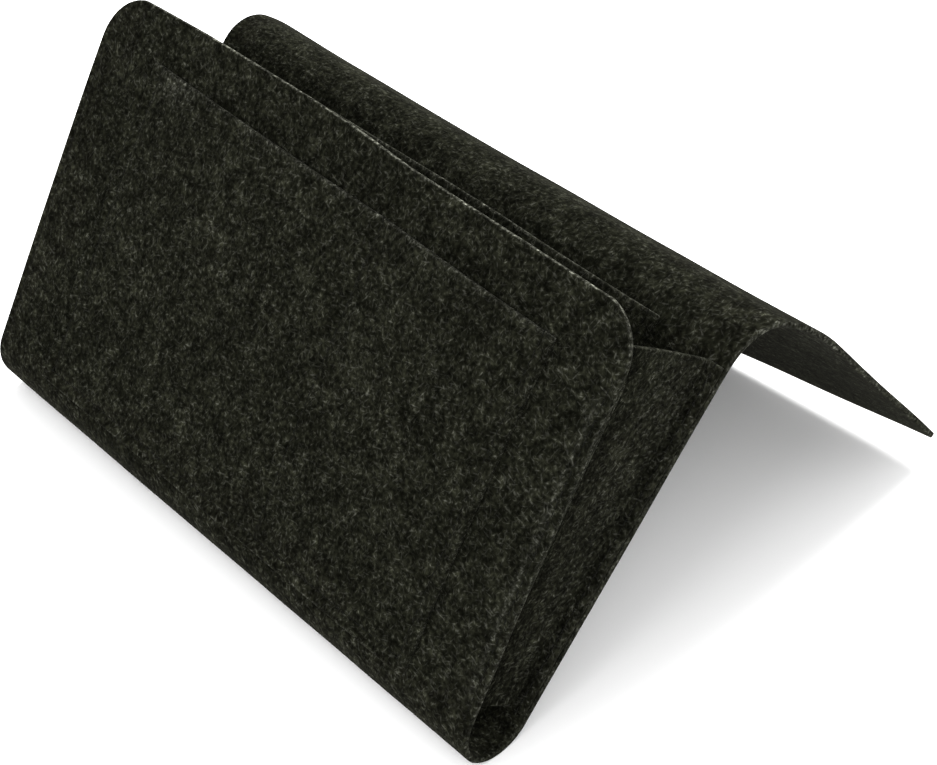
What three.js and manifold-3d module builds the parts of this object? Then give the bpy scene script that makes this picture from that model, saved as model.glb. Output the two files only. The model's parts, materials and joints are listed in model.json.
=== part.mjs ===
// Felt bedside caddy, standing like a tent on its bottom fold and the tip of its flap.
// Millimetres. +X runs along the caddy, +Y from the front to the back, +Z up.
// One long felt sheet makes the flap, the back panel, the bottom fold and the front panel.
// Two patch pockets and two folded side gussets are sewn to it.

import * as THREE from 'three';
import { mergeVertices } from 'three/addons/utils/BufferGeometryUtils.js';
import Module from 'manifold-3d';

const wasm = await Module();
wasm.setup();

const DEGREE = Math.PI / 180;
const QUARTER_TURN = Math.PI / 2;

// Driving dimensions of the long felt sheet
const feltThickness = 3;
const caddyWidth = 360;
const frontHeight = 190.5;
const frontCornerRadius = 25;
const backHeight = 179.5;
const bottomFoldOuterRadius = 22.5;
const topFoldInnerRadius = 23;
const flapEasedLength = 48;

// How the sheet stands, in degrees: leans are measured from the vertical, slopes from the floor
const frontLean = 28.3;
const backLean = 40.4;
const flapSlopeAtFold = 33;
const flapSlopeAtTip = 56.5;
const liftedCornerSlope = 49.5;

// One corner of the flap's tip is lifted, over this much of the caddy's width
const liftedWidth = 240;

// The two patch pockets are cut alike, narrower than the caddy by a margin at each side
const pocketSideMargin = 39;
const pocketWidth = caddyWidth - 2 * pocketSideMargin;
const pocketHeight = 169.5;
const pocketMouthGape = 2.5;
const frontPocketCentre = 5.5;
const frontPocketBottom = -1;
const frontPocketDivider = 34.5;
const backPocketCentre = 0;
const backPocketTopAboveFold = 0.5;

// Side gussets: a web with a sewn flange on the front panel and one on the back panel
const flangeWidth = 6.5;
const gussetTopBelowFold = 4.5;
const gussetHeight = backHeight - gussetTopBelowFold;
const frontFlangeCutDown = 13.5;
const frontFlangeHeight = gussetHeight - frontFlangeCutDown;
const gussetBottomLift = 1.5;

// Seams
const pocketSeamInset = 6;
const flangeSeamInset = 4;
const threadDiameter = 0.7;
const stitchPitch = 4.5;
const stitchGap = 0.9;
const threadBetweenStitches = threadDiameter / 3;

// Sewn and folded pieces lie this far apart
const clearance = 0.3;

// How finely the curves are cut
const foldSteps = 8;
const cornerSteps = 8;
const easedSteps = 8;
const liftedColumns = 6;
const archColumns = 8;
const pocketRows = 6;

// Two materials, with their red, green and blue
const feltShade = [0.13, 0.133, 0.106];
const feltRoughness = 0.95;
const threadShade = [0.05, 0.05, 0.045];
const threadRoughness = 0.6;

function fabric(shade, roughness) {
  const color = new THREE.Color().setRGB(...shade, THREE.SRGBColorSpace);
  return new THREE.MeshStandardMaterial({ color, roughness, metalness: 0 });
}

const felt = fabric(feltShade, feltRoughness);
const thread = fabric(threadShade, threadRoughness);

const halfWidth = caddyWidth / 2;
const bottomFoldInnerRadius = bottomFoldOuterRadius - feltThickness;
const topFoldOuterRadius = topFoldInnerRadius + feltThickness;

const caddy = new THREE.Group();

// A frame on a panel: x along the caddy, y up the panel, z out of its front face.
// Both panels start at the middle of the bottom fold.
function panelFrame(lean) {
  const frame = new THREE.Group();
  frame.position.set(0, 0, bottomFoldOuterRadius);
  frame.rotation.x = QUARTER_TURN - lean * DEGREE;
  caddy.add(frame);
  return frame;
}

const frontFrame = panelFrame(frontLean);
const backFrame = panelFrame(backLean);

// Turns a section drawn in (y, z) and pushed along z into one pushed along x
const sectionToCaddy = new THREE.Matrix4().makeBasis(
  new THREE.Vector3(0, 1, 0),
  new THREE.Vector3(0, 0, 1),
  new THREE.Vector3(1, 0, 0),
);

function addMesh(name, geometry, material, parent) {
  const mesh = new THREE.Mesh(geometry, material);
  mesh.name = name;
  parent.add(mesh);
  return mesh;
}

// A section in (y, z), centred along the caddy
function extrudeSection(points, width) {
  const shape = new THREE.Shape(points);
  const geometry = new THREE.ExtrudeGeometry(shape, { depth: width, bevelEnabled: false });
  geometry.translate(0, 0, -width / 2);
  return geometry.applyMatrix4(sectionToCaddy);
}

function arcPoints(centre, radius, fromAngle, toAngle, steps) {
  const points = [];
  for (let step = 0; step <= steps; step += 1) {
    const angle = fromAngle + (toAngle - fromAngle) * step / steps;
    points.push(new THREE.Vector2(
      centre.x + radius * Math.cos(angle),
      centre.y + radius * Math.sin(angle),
    ));
  }
  return points;
}

// Flat pieces: an outline in the panel's plane, pushed out of it by the felt's thickness
function flatPiece(outline, back) {
  const geometry = new THREE.ExtrudeGeometry(outline, {
    depth: feltThickness,
    bevelEnabled: false,
    curveSegments: cornerSteps,
  });
  return geometry.translate(0, 0, back);
}

function rectangle(left, right, low, high) {
  const shape = new THREE.Shape();
  shape.moveTo(left, low);
  shape.lineTo(right, low);
  shape.lineTo(right, high);
  shape.lineTo(left, high);
  shape.closePath();
  return shape;
}

// Front panel, with large rounded top corners
function frontOutline() {
  const shape = new THREE.Shape();
  const low = clearance / 2;
  const cornerLow = frontHeight - frontCornerRadius;
  const cornerIn = halfWidth - frontCornerRadius;
  shape.moveTo(-halfWidth, low);
  shape.lineTo(halfWidth, low);
  shape.lineTo(halfWidth, cornerLow);
  shape.absarc(cornerIn, cornerLow, frontCornerRadius, 0, QUARTER_TURN, false);
  shape.lineTo(-cornerIn, frontHeight);
  shape.absarc(-cornerIn, cornerLow, frontCornerRadius, QUARTER_TURN, Math.PI, false);
  shape.closePath();
  return shape;
}

addMesh('front_panel', flatPiece(frontOutline(), bottomFoldInnerRadius), felt, frontFrame);

// Back panel, flat from the bottom fold to the top fold
const backRearFace = -bottomFoldOuterRadius;
const backFrontFace = backRearFace + feltThickness;
addMesh(
  'back_panel',
  flatPiece(
    rectangle(-halfWidth, halfWidth, clearance / 2, backHeight - clearance / 2),
    backRearFace,
  ),
  felt,
  backFrame,
);

// Bottom fold: half a ring from the front panel round to the back panel, with its lowest
// line on the floor
function bottomFoldSection() {
  const centre = new THREE.Vector2(0, bottomFoldOuterRadius);
  const frontAngle = Math.PI - frontLean * DEGREE;
  const backAngle = 2 * Math.PI - backLean * DEGREE;
  const lowest = Math.PI + QUARTER_TURN;
  const inset = clearance / 2 / bottomFoldOuterRadius;
  const start = frontAngle + inset;
  const end = backAngle - inset;
  const outer = [
    ...arcPoints(centre, bottomFoldOuterRadius, start, lowest, foldSteps),
    ...arcPoints(centre, bottomFoldOuterRadius, lowest, end, foldSteps).slice(1),
  ];
  const inner = [
    ...arcPoints(centre, bottomFoldInnerRadius, end, lowest, foldSteps),
    ...arcPoints(centre, bottomFoldInnerRadius, lowest, start, foldSteps).slice(1),
  ];
  return [...outer, ...inner];
}

addMesh('bottom_fold', extrudeSection(bottomFoldSection(), caddyWidth), felt, caddy);

// Places in the (y, z) section of the back panel and the top fold
function alongBack(up, rearwards) {
  return new THREE.Vector2(
    up * Math.sin(backLean * DEGREE) + rearwards * Math.cos(backLean * DEGREE),
    bottomFoldOuterRadius + up * Math.cos(backLean * DEGREE) - rearwards * Math.sin(backLean * DEGREE),
  );
}

const topFoldCentre = alongBack(backHeight, bottomFoldOuterRadius + topFoldInnerRadius);
const topFoldBackAngle = Math.PI - backLean * DEGREE;
const topFoldFlapAngle = QUARTER_TURN - flapSlopeAtFold * DEGREE;

function topFoldSection() {
  const inset = clearance / 2 / topFoldInnerRadius;
  const start = topFoldBackAngle - inset;
  const end = topFoldFlapAngle + inset;
  return [
    ...arcPoints(topFoldCentre, topFoldOuterRadius, start, end, foldSteps),
    ...arcPoints(topFoldCentre, topFoldInnerRadius, end, start, foldSteps),
  ].reverse();
}

addMesh('top_fold', extrudeSection(topFoldSection(), caddyWidth), felt, caddy);

// A closed solid between a near and a far grid of points
const AXES = 3;

function gridSolid(columns, rows, nearPoint, farPoint) {
  const positions = [];
  const indices = [];
  const layer = (columns + 1) * (rows + 1);
  for (const place of [nearPoint, farPoint]) {
    for (let row = 0; row <= rows; row += 1) {
      for (let column = 0; column <= columns; column += 1) {
        const point = place(column, row);
        positions.push(point.x, point.y, point.z);
      }
    }
  }
  const near = (column, row) => row * (columns + 1) + column;
  const far = (column, row) => layer + near(column, row);
  function quad(a, b, c, d) {
    indices.push(a, b, c, a, c, d);
  }
  for (let row = 0; row < rows; row += 1) {
    for (let column = 0; column < columns; column += 1) {
      quad(near(column, row), near(column + 1, row), near(column + 1, row + 1), near(column, row + 1));
      quad(far(column, row), far(column, row + 1), far(column + 1, row + 1), far(column + 1, row));
    }
  }
  for (let row = 0; row < rows; row += 1) {
    quad(near(0, row), near(0, row + 1), far(0, row + 1), far(0, row));
    quad(near(columns, row), far(columns, row), far(columns, row + 1), near(columns, row + 1));
  }
  for (let column = 0; column < columns; column += 1) {
    quad(near(column, 0), far(column, 0), far(column + 1, 0), near(column + 1, 0));
    quad(near(column, rows), near(column + 1, rows), far(column + 1, rows), far(column, rows));
  }
  const geometry = new THREE.BufferGeometry();
  geometry.setAttribute('position', new THREE.Float32BufferAttribute(positions, AXES));
  geometry.setIndex(indices);
  geometry.computeVertexNormals();
  return geometry;
}

// Flap: it leaves the top fold, eases down over its first quarter and runs flat to its tip.
// One corner of the tip is lifted off the floor, as the felt springs back.
const flapFlatLength = flapLengthToFloor();

// The line along the middle of the flap's thickness, for a given slope at the tip
function flapPoint(tipSlope, along, above) {
  const startSlope = flapSlopeAtFold * DEGREE;
  const turn = tipSlope * DEGREE - startSlope;
  const easedRadius = flapEasedLength / turn;
  const middleRadius = topFoldInnerRadius + feltThickness / 2;
  const start = new THREE.Vector2(
    topFoldCentre.x + middleRadius * Math.sin(startSlope),
    topFoldCentre.y + middleRadius * Math.cos(startSlope),
  );
  const eased = Math.min(along, flapEasedLength);
  const slope = startSlope + turn * eased / flapEasedLength;
  const flat = along - eased;
  return new THREE.Vector2(
    start.x + easedRadius * (Math.sin(slope) - Math.sin(startSlope))
      + flat * Math.cos(slope) + above * Math.sin(slope),
    start.y - easedRadius * (Math.cos(startSlope) - Math.cos(slope))
      - flat * Math.sin(slope) + above * Math.cos(slope),
  );
}

function flapLengthToFloor() {
  const underside = flapPoint(flapSlopeAtTip, flapEasedLength, -feltThickness / 2);
  return underside.y / Math.sin(flapSlopeAtTip * DEGREE);
}

function flapAlong(row) {
  const first = clearance / 2;
  const eased = first + (flapEasedLength - first) * row / easedSteps;
  return row > easedSteps ? flapEasedLength + flapFlatLength : eased;
}

function flapColumn(column) {
  if (column === 0) {
    return -halfWidth;
  }
  return halfWidth - liftedWidth * (liftedColumns - column + 1) / liftedColumns;
}

function tipSlopeAt(x) {
  const share = Math.max(0, 1 - (halfWidth - x) / liftedWidth);
  return flapSlopeAtTip - (flapSlopeAtTip - liftedCornerSlope) * share;
}

function flapSurface(above) {
  return (column, row) => {
    const x = flapColumn(column);
    const point = flapPoint(tipSlopeAt(x), flapAlong(row), above);
    return new THREE.Vector3(x, point.x, point.y);
  };
}

addMesh(
  'flap',
  gridSolid(
    liftedColumns + 1,
    easedSteps + 1,
    flapSurface(feltThickness / 2),
    flapSurface(-feltThickness / 2),
  ),
  felt,
  caddy,
);

// A patch pocket lies on its panel along its seams and stands off it a little at its mouth,
// in one shallow arch between each pair of upright seams
function pocketColumns(left, right, seams) {
  const columns = [left];
  for (let index = 0; index < seams.length - 1; index += 1) {
    const span = seams[index + 1] - seams[index];
    for (let step = 0; step < archColumns; step += 1) {
      columns.push(seams[index] + span * step / archColumns);
    }
  }
  columns.push(seams[seams.length - 1], right);
  return columns;
}

function archHeight(x, up, low, seams) {
  const first = seams[0];
  const last = seams[seams.length - 1];
  if (x <= first || x >= last || up <= low + pocketSeamInset) {
    return 0;
  }
  let index = 0;
  while (x > seams[index + 1]) {
    index += 1;
  }
  const across = (x - seams[index]) / (seams[index + 1] - seams[index]);
  const rise = (up - low - pocketSeamInset) / (pocketHeight - pocketSeamInset);
  return pocketMouthGape * Math.sin(Math.PI * across) * rise * rise;
}

function pocketPiece(centre, low, face, dividers) {
  const left = centre - pocketWidth / 2;
  const right = centre + pocketWidth / 2;
  const seams = [left + pocketSeamInset, ...dividers, right - pocketSeamInset];
  const columns = pocketColumns(left, right, seams);
  const rowHeight = (row) => (row === 0
    ? low
    : low + pocketSeamInset + (pocketHeight - pocketSeamInset) * (row - 1) / pocketRows);
  const surface = (out) => (column, row) => {
    const x = columns[column];
    const up = rowHeight(row);
    return new THREE.Vector3(x, up, face + clearance + out + archHeight(x, up, low, seams));
  };
  return gridSolid(columns.length - 1, pocketRows + 1, surface(feltThickness), surface(0));
}

const frontFace = bottomFoldOuterRadius;
const frontPocketFace = frontFace + clearance + feltThickness;
const frontPocketLeft = frontPocketCentre - pocketWidth / 2;
const frontPocketRight = frontPocketCentre + pocketWidth / 2;
addMesh(
  'patch_pocket',
  pocketPiece(frontPocketCentre, frontPocketBottom, frontFace, [frontPocketDivider]),
  felt,
  frontFrame,
);

const backPocketTop = backHeight + backPocketTopAboveFold;
const backPocketBottom = backPocketTop - pocketHeight;
const backPocketFace = backFrontFace + clearance + feltThickness;
const backPocketLeft = backPocketCentre - pocketWidth / 2;
const backPocketRight = backPocketCentre + pocketWidth / 2;
addMesh(
  'inner_pocket',
  pocketPiece(backPocketCentre, backPocketBottom, backFrontFace, []),
  felt,
  backFrame,
);

// Boolean join of closed geometries, each already in the caddy's axes
function toSolid(geometry) {
  const bare = geometry.clone();
  bare.deleteAttribute('normal');
  bare.deleteAttribute('uv');
  const merged = mergeVertices(bare);
  return new wasm.Manifold(new wasm.Mesh({
    numProp: AXES,
    vertProperties: new Float32Array(merged.attributes.position.array),
    triVerts: new Uint32Array(merged.index.array),
  }));
}

function joined(geometries) {
  const solid = geometries.map(toSolid).reduce((all, next) => all.add(next));
  const mesh = solid.getMesh();
  const geometry = new THREE.BufferGeometry();
  geometry.setAttribute('position', new THREE.Float32BufferAttribute(mesh.vertProperties, AXES));
  geometry.setIndex(Array.from(mesh.triVerts));
  geometry.computeVertexNormals();
  return geometry;
}

function inCaddy(geometry, frame) {
  frame.updateMatrixWorld(true);
  return geometry.applyMatrix4(frame.matrixWorld);
}

// Places in the (y, z) section, from the front panel's and the back panel's frames
function panelPlace(lean, up, out) {
  return new THREE.Vector2(
    up * Math.sin(lean * DEGREE) - out * Math.cos(lean * DEGREE),
    bottomFoldOuterRadius + up * Math.cos(lean * DEGREE) + out * Math.sin(lean * DEGREE),
  );
}

// Gusset: the web is a flat wedge across the pocket's end, and its flanges turn outwards
const frontInnerFace = bottomFoldInnerRadius - clearance;
const backInnerFace = backFrontFace + clearance;
const webOuter = halfWidth - flangeWidth;
const webInner = webOuter - feltThickness;

function webGeometry(from, to) {
  const points = [
    panelPlace(frontLean, gussetBottomLift, frontInnerFace),
    panelPlace(backLean, gussetBottomLift, backInnerFace),
    panelPlace(backLean, gussetHeight, backInnerFace),
    panelPlace(frontLean, gussetHeight, frontInnerFace),
  ];
  const shape = new THREE.Shape(points);
  const geometry = new THREE.ExtrudeGeometry(shape, { depth: to - from, bevelEnabled: false });
  geometry.translate(0, 0, from);
  return geometry.applyMatrix4(sectionToCaddy);
}

function flangeGeometry(from, to, high, back, frame) {
  const geometry = flatPiece(rectangle(from, to, gussetBottomLift, high), back);
  return inCaddy(geometry, frame);
}

function gussetGeometry(side) {
  const [webFrom, webTo] = side > 0 ? [webInner, webOuter] : [-webOuter, -webInner];
  const flangeFrom = side > 0 ? webInner : -halfWidth;
  const flangeTo = side > 0 ? halfWidth : -webInner;
  return joined([
    webGeometry(webFrom, webTo),
    flangeGeometry(flangeFrom, flangeTo, frontFlangeHeight, frontInnerFace - feltThickness, frontFrame),
    flangeGeometry(flangeFrom, flangeTo, gussetHeight, backInnerFace, backFrame),
  ]);
}

const RIGHT = 1;
const LEFT = -RIGHT;
addMesh('gusset_right', gussetGeometry(RIGHT), felt, caddy);
addMesh('gusset_left', gussetGeometry(LEFT), felt, caddy);

// A row of stitches: low humps joined by the thread between them, lying on the felt
function stitchRow(length) {
  const stitches = Math.round(length / stitchPitch);
  const pitch = length / stitches;
  const shape = new THREE.Shape();
  shape.moveTo(0, 0);
  shape.lineTo(length, 0);
  for (let stitch = stitches - 1; stitch >= 0; stitch -= 1) {
    const start = stitch * pitch;
    shape.lineTo(start + pitch, threadBetweenStitches);
    shape.lineTo(start + pitch - stitchGap, threadDiameter);
    shape.lineTo(start + stitchGap, threadDiameter);
  }
  shape.lineTo(0, threadBetweenStitches);
  shape.closePath();
  const geometry = new THREE.ExtrudeGeometry(shape, { depth: threadDiameter, bevelEnabled: false });
  return geometry.translate(0, 0, -threadDiameter / 2);
}

// Up the panel: length to y, height to z, width to x
function uprightRow(name, x, low, high, face, frame) {
  const geometry = stitchRow(high - low).applyMatrix4(sectionToCaddy);
  const row = addMesh(name, geometry, thread, frame);
  row.position.set(x, low, face + clearance);
}

// Along the panel: length to x, height to z, width across
function levelRow(name, left, right, up, face, frame) {
  const row = addMesh(name, stitchRow(right - left), thread, frame);
  row.rotation.x = QUARTER_TURN;
  row.position.set(left, up, face + clearance);
}

// Pocket seams run round three sides; the front pocket also has a dividing seam
function pocketSeams(prefix, left, right, low, face, frame, sides) {
  const seamLow = low + pocketSeamInset;
  const seamHigh = low + pocketHeight - threadDiameter;
  const uprightLow = seamLow + threadDiameter;
  for (const [side, x] of sides) {
    uprightRow(`${prefix}_seam_${side}`, x, uprightLow, seamHigh, face, frame);
  }
  levelRow(`${prefix}_seam_bottom`, left + pocketSeamInset, right - pocketSeamInset, seamLow, face, frame);
}

pocketSeams('patch', frontPocketLeft, frontPocketRight, frontPocketBottom, frontPocketFace, frontFrame, [
  ['left', frontPocketLeft + pocketSeamInset],
  ['divider', frontPocketDivider],
  ['right', frontPocketRight - pocketSeamInset],
]);
pocketSeams('inner', backPocketLeft, backPocketRight, backPocketBottom, backPocketFace, backFrame, [
  ['left', backPocketLeft + pocketSeamInset],
  ['right', backPocketRight - pocketSeamInset],
]);

// Gusset seams: on the face of the front panel, and on the flange at the back panel
const flangeSeam = halfWidth - flangeSeamInset;
const flangeSeamLow = gussetBottomLift + threadDiameter;
const backFlangeFace = backInnerFace + feltThickness;
for (const [side, x] of [['right', flangeSeam], ['left', -flangeSeam]]) {
  const frontHigh = frontFlangeHeight - threadDiameter;
  const backHigh = gussetHeight - threadDiameter;
  uprightRow(`gusset_${side}_front_seam`, x, flangeSeamLow, frontHigh, frontFace, frontFrame);
  uprightRow(`gusset_${side}_back_seam`, x, flangeSeamLow, backHigh, backFlangeFace, backFrame);
}

// The origin is on the floor, under the middle of the whole caddy
const model = new THREE.Group();
model.add(caddy);
model.updateMatrixWorld(true);
const extent = new THREE.Box3().setFromObject(caddy, true);
caddy.position.y = -(extent.min.y + extent.max.y) / 2;
caddy.position.x = -(extent.min.x + extent.max.x) / 2;

export default model;
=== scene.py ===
# %% [markdown]
# # A felt bedside caddy
#
# The object is almost nothing but felt: one long sheet, folded twice, with two flat
# pockets and two side gussets sewn to it. So this lesson is about sheets. We work out
# where a flat cut piece goes when it is folded, give it a real thickness and a cut edge,
# press the seams into it, and spend the rest of the effort on the marled felt itself.
#
# All lengths are in millimetres until the last moment, where they become metres in the
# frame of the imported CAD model.

import json
import math

import bmesh
import bpy
import numpy as np
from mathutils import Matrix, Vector, noise


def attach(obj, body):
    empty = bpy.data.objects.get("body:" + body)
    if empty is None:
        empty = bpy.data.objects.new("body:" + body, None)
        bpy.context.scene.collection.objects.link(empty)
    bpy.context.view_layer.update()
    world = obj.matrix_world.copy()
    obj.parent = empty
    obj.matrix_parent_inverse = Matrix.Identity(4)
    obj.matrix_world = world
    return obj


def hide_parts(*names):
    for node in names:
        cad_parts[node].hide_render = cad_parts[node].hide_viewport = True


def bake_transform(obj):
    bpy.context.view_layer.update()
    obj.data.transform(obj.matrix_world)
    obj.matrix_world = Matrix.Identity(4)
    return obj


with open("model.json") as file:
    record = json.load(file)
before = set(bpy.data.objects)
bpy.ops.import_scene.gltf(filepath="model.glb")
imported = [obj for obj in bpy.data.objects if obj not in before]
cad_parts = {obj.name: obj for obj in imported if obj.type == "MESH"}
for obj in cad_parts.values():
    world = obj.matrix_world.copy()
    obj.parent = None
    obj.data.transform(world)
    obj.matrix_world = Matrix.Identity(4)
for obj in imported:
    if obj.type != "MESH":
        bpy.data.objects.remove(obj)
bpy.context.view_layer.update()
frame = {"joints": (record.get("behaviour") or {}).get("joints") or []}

# %% [markdown]
# ## Sizes
#
# A folded sheet is easiest to think of flat. The numbers below are the cut sizes and the
# way the sheet stands: both panels lean, and between them run two round folds. They are
# the CAD model's sizes, with one change. The real sheet is a little wider at its ends
# than the plain rectangle there, so it is cut 2 mm wider here. GAP is the air left between
# pieces of felt that lie on each other, and EASED is the length of flap over which its
# slope settles after the bend.

# %% Cut sizes and leans
FELT = 3.0
HALF = FELT / 2
HALF_WIDTH = 181.0
FRONT_HEIGHT = 190.5
BACK_HEIGHT = 179.5
CORNER = 25.0
FRONT_LEAN = math.radians(28.3)
BACK_LEAN = math.radians(40.4)
BOTTOM_RADIUS = 22.5
TOP_RADIUS = 23.0
SLOPE_AT_FOLD = math.radians(33.0)
EASED = 48.0
FLAP_LENGTH = 186.5
GAP = 0.3

hinges = {j["name"]: j for j in frame["joints"]}
SHIFT = hinges["pocket_close"]["pos_m"][1] * 1000
print("bottom fold's centre lies at y", round(SHIFT, 2), "mm")

# %% [markdown]
# ## Where the felt goes
#
# Each helper takes places on the flat cut and gives places in space. The front panel is
# not quite flat on the real caddy: felt that is only held at its fold and its two side
# seams bows backwards towards its free top edge. It does so more at one end than at the
# other, so the panel has a slight twist, and the helper adds both.

# %% Places on the two panels
MIDDLE = BOTTOM_RADIUS - HALF
BOW_LEFT = 4.0
BOW_RIGHT = 9.0
BOW_HEIGHT = 193.0
CUT_TILT = 0.0137


def on_front(x, up, out):
    """x along the caddy, up the front panel, out of its front face from the fold's centre."""
    up = up * (1 - CUT_TILT * x / HALF_WIDTH)
    bow = BOW_LEFT + (BOW_RIGHT - BOW_LEFT) * (x + HALF_WIDTH) / (2 * HALF_WIDTH)
    share = np.clip(up, 0, None) / BOW_HEIGHT
    up, out = up + 2 * bow * share / BOW_HEIGHT * (out - MIDDLE), out - bow * share**2
    y = up * math.sin(FRONT_LEAN) - out * math.cos(FRONT_LEAN)
    z = BOTTOM_RADIUS + up * math.cos(FRONT_LEAN) + out * math.sin(FRONT_LEAN)
    return np.stack([x, y, z], -1)


def on_back(x, up, out):
    y = up * math.sin(BACK_LEAN) - out * math.cos(BACK_LEAN)
    z = BOTTOM_RADIUS + up * math.cos(BACK_LEAN) + out * math.sin(BACK_LEAN)
    return np.stack([x, y, z], -1)


# %% [markdown]
# The top bend is skewed: felt that nothing holds there bends tightly at one end of the
# caddy and loosely at the other. Three radii, for the left end, the middle and the right
# end, are joined by a smooth curve. The panel below gives up what the bend takes, so the
# sheet keeps its length.

# %% Places round the two folds and along the flap
FRONT_ANGLE = math.pi - FRONT_LEAN
BACK_ANGLE = 2 * math.pi - BACK_LEAN
BOTTOM_LENGTH = MIDDLE * (BACK_ANGLE - FRONT_ANGLE)
TOP_BACK_ANGLE = math.pi - BACK_LEAN
TOP_FLAP_ANGLE = math.pi / 2 - SLOPE_AT_FOLD
TOP_TURN = TOP_BACK_ANGLE - TOP_FLAP_ANGLE
TOP_LENGTH = (TOP_RADIUS + HALF) * TOP_TURN
BEND_RADII = (18.0, 22.0, 29.0)
BACK_HEIGHTS = (185.2, 173.8)
TIP_LIFT = 12.1
LIFTED_WIDTH = 240.0


def bend_at(x):
    """The bend's middle radius, the back's height and the bend's centre, at x."""
    u = x / HALF_WIDTH
    left, middle, right = BEND_RADII
    radius = HALF + left * u * (u - 1) / 2 + middle * (1 - u * u) + right * u * (u + 1) / 2
    height = BACK_HEIGHTS[0] + (BACK_HEIGHTS[1] - BACK_HEIGHTS[0]) * (u + 1) / 2
    centre = on_back(x, height, -MIDDLE - radius)
    return radius, height, centre[..., 1], centre[..., 2]


def on_bottom_fold(x, along, outwards):
    angle = FRONT_ANGLE + along / MIDDLE
    radius = MIDDLE + outwards
    return np.stack([x, radius * np.cos(angle), BOTTOM_RADIUS + radius * np.sin(angle)], -1)


def on_top_fold(x, along, outwards):
    radius, _, y, z = bend_at(x)
    angle = TOP_BACK_ANGLE - TOP_TURN * along / TOP_LENGTH
    reach = radius - outwards
    return np.stack([x, y + reach * np.cos(angle), z + reach * np.sin(angle)], -1)


def flap_place(x, along, outwards, tip):
    """The slope eases from the fold's to the tip's, and from there the flap is straight."""
    radius, _, y, z = bend_at(x)
    turn = tip - SLOPE_AT_FOLD
    eased = np.clip(along, 0, EASED)
    slope = SLOPE_AT_FOLD + turn * eased / EASED
    flat = along - eased
    fold_sin, fold_cos = math.sin(SLOPE_AT_FOLD), math.cos(SLOPE_AT_FOLD)
    y = y + radius * fold_sin + EASED / turn * (np.sin(slope) - fold_sin)
    z = z + radius * fold_cos - EASED / turn * (fold_cos - np.cos(slope))
    y = y + flat * np.cos(slope) - outwards * np.sin(slope)
    z = z - flat * np.sin(slope) - outwards * np.cos(slope)
    return np.stack([x, y, z], -1)


# %% [markdown]
# The flap rests on the tip, and one corner of the tip springs up. How steep the flap must
# be at each x for that is found by halving, sixteen times over.

# %% The flap's slope towards its tip
SLOPES = 93
LIFT_EASE = 60.0
slope_x = np.linspace(-HALF_WIDTH - 2, HALF_WIDTH + 2, SLOPES)
past = np.clip(slope_x - HALF_WIDTH + LIFTED_WIDTH + LIFT_EASE / 2, 0, None)
eased_in = np.where(past < LIFT_EASE, past**2 / (2 * LIFT_EASE), past - LIFT_EASE / 2)
tip_height = TIP_LIFT / LIFTED_WIDTH * eased_in
tip_along, tip_outwards = np.full(SLOPES, FLAP_LENGTH), np.full(SLOPES, HALF)
gentle, steep = np.full(SLOPES, math.radians(40)), np.full(SLOPES, math.radians(75))
for _ in range(16):
    between = (gentle + steep) / 2
    too_high = flap_place(slope_x, tip_along, tip_outwards, between)[:, 2] > tip_height
    gentle, steep = np.where(too_high, between, gentle), np.where(too_high, steep, between)
slope_at_tip = (gentle + steep) / 2
print("tip slopes:", [round(math.degrees(v), 1) for v in slope_at_tip[::23]])


def on_flap(x, along, outwards):
    return flap_place(x, along, outwards, np.interp(x, slope_x, slope_at_tip))


print("flat lengths:", round(BOTTOM_LENGTH, 1), round(TOP_LENGTH, 1), round(FLAP_LENGTH, 1))

# %% [markdown]
# ## From flat cut to felt
#
# Every felt piece is made by one helper. It starts as a grid on the flat cut, and that
# grid is laid twice, once for each face of the felt. Between the two faces runs a cut
# edge in four steps, slightly rounded, because felt has no sharp arris. The helper also
# stores two things for the material. Each point's place in the flat cut lets the fibres
# follow the sheet round its folds. Its fray value says where a cut edge shows paler
# fibres and where the face is brushed, and it also carries the painted sheen and painted
# shade laid on some faces.

# %% A helper for lines that grow closer near a seam
GRID_STEP = 4.0
EDGE_INSET = 0.45
EDGE_LOOP = 1.5
NEAR_A_SEAM = (-4.2, -2.6, -1.5, -0.7, 0.0, 0.7, 1.5, 2.6)


def lines(low, high, seams=()):
    """Places from low to high about a grid step apart, with close ones at each seam."""
    close = [s + n for s in seams for n in NEAR_A_SEAM if low < s + n < high]
    edges = [low + EDGE_INSET, low + EDGE_LOOP, high - EDGE_LOOP, high - EDGE_INSET]
    count = max(2, round((high - low) / GRID_STEP))
    even = np.linspace(low, high, count + 1)[1:-1]
    keep = [v for v in even if all(abs(v - c) > GRID_STEP * 0.45 for c in close + edges)]
    return np.array(sorted(close + edges + keep))


# %% The helper that makes a thick felt piece
EDGE_STEPS = ((0.12, 0.78), (0.0, 0.3), (0.0, -0.3), (0.12, -0.78))
FACE_FRAY = 0.45
DIAGONAL = 0.7


def ring_of(rows, columns):
    """The grid's outer points in order, anticlockwise as seen from the front face."""
    ring = [(0, c) for c in range(columns)]
    ring += [(r, columns - 1) for r in range(1, rows)]
    ring += [(rows - 1, c) for c in range(columns - 2, -1, -1)]
    ring += [(r, 0) for r in range(rows - 2, 0, -1)]
    return ring


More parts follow.
